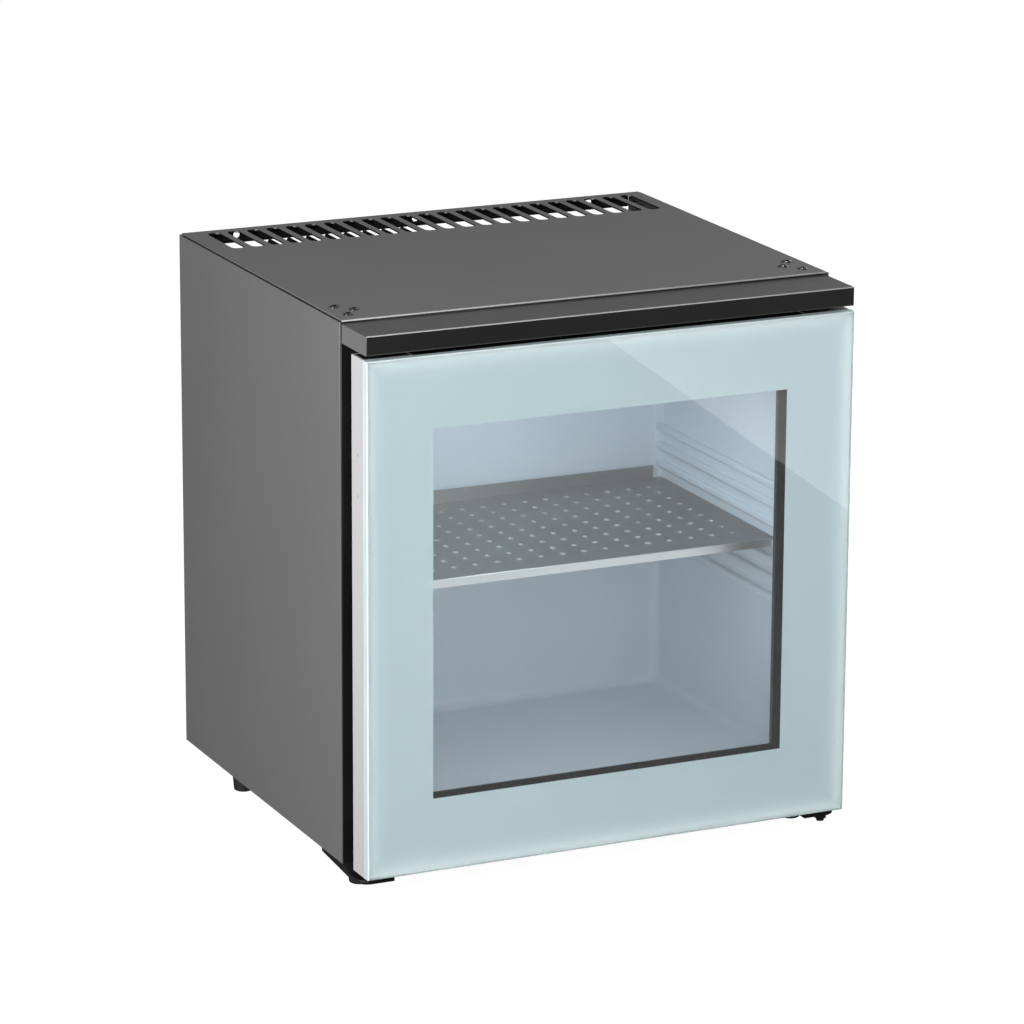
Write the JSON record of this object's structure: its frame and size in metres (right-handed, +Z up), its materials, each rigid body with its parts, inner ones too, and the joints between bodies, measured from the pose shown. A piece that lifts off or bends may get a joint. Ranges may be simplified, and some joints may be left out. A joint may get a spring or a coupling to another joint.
{
  "type": "minibar fridge",
  "caption": "Small free-standing absorption minibar: insulated steel cabinet, right-hung glazed door with a pale glass border, sliding perforated shelf, lamp and rear cooling unit.",
  "frame": {"origin": "on the floor under the middle of the object's bounding box", "axes": "+Z up, -Y towards the viewer in front of the door, +X to that viewer's right"},
  "size_m": [0.4, 0.365, 0.4354],
  "materials": {
    "cabinet_paint": "satin powder coat",
    "grey_sheet": "matt coat",
    "white_liner": "soft gloss",
    "foam": "rigid graphite foam",
    "black_plastic": "satin",
    "bar_paint": "satin coat, black on the front",
    "bracket_paint": "satin",
    "bright_steel": "plated",
    "black_steel": "black zinc",
    "foot_rubber": "matt",
    "shelf_steel": "satin",
    "lens_plastic": "frosted",
    "circuit_board": "lacquered",
    "knob_plastic": "satin",
    "bare_aluminium": "mill",
    "unit_paint": "satin",
    "jacket_sheet": "coated sheet",
    "heater_steel": "drawn",
    "box_plastic": "satin",
    "clear_glass": "polished",
    "glass_enamel": "fired enamel behind glass",
    "door_profile": "satin",
    "seal_rubber": "matt",
    "magnet": "matt"
  },
  "bodies": {
    "cabinet": {"absorber_coil": "unit_paint", "absorber_vessel": "unit_paint", "base_plate": "bracket_paint", "boiler_jacket": "jacket_sheet", "boiler_tube": "unit_paint", "coil_strap": "unit_paint", "cold_plate": "bare_aluminium", "cold_plate_screws": "bright_steel", "condenser_fins": "unit_paint", "condenser_tube": "unit_paint", "control_board": "circuit_board", "control_box": "box_plastic", "evaporator_plate": "bare_aluminium", "evaporator_plug": "foam", "evaporator_tube": "unit_paint", "fascia_bar": "bar_paint", "fascia_bar_screws": "bright_steel", "foot_front_left": "foot_rubber", "foot_front_right": "foot_rubber", "foot_rear_left": "foot_rubber", "foot_rear_right": "foot_rubber", "foot_screws": "bright_steel", "front_frame": "black_plastic", "heater_cartridge": "heater_steel", "inner_liner": "white_liner", "insulation_foam": "foam", "lamp_board": "circuit_board", "lamp_housing": "white_liner", "lamp_lens": "lens_plastic", "lower_bracket_screws": "black_steel", "lower_hinge_bracket_left": "bracket_paint", "lower_hinge_bracket_right": "bracket_paint", "lower_hinge_pin": "black_steel", "lower_pin_nut": "black_steel", "power_inlet": "box_plastic", "rear_foot_washers": "foot_rubber", "rear_panel": "grey_sheet", "side_panel_left": "cabinet_paint", "side_panel_right": "cabinet_paint", "top_panel": "cabinet_paint", "unit_saddles": "unit_paint", "upper_bracket_screws": "black_steel", "upper_hinge_bracket_left": "bracket_paint", "upper_hinge_bracket_right": "bracket_paint", "upper_hinge_pin": "bright_steel"},
    "door": {"outer_glass": "clear_glass", "glass_enamel": "glass_enamel", "spacer_frame": "black_plastic", "inner_glass": "clear_glass", "inner_frame": "black_plastic", "left_stile": "door_profile", "right_stile": "door_profile", "top_rail": "black_plastic", "bottom_rail": "black_plastic", "stile_end_plugs": "black_plastic", "gasket": "seal_rubber", "magnet_strips": "magnet"},
    "shelf": {"shelf": "shelf_steel"},
    "knob": {"thermostat_knob": "knob_plastic"}
  },
  "joints": [
    {"name": "door_hinge", "type": "hinge", "parent": "cabinet", "child": "door", "pos_m": [0.19, -0.1615, 0.2169], "axis": [0, 0, 1], "range_deg": [0, 120]},
    {"name": "shelf_slide", "type": "slide", "parent": "cabinet", "child": "shelf", "axis": [0, -1, 0], "range_m": [0, 0.03]},
    {"name": "knob_turn", "type": "hinge", "parent": "cabinet", "child": "knob", "pos_m": [0.04, -0.1075, 0.385], "axis": [0, 1, 0], "range_deg": [0, 270]}
  ]
}
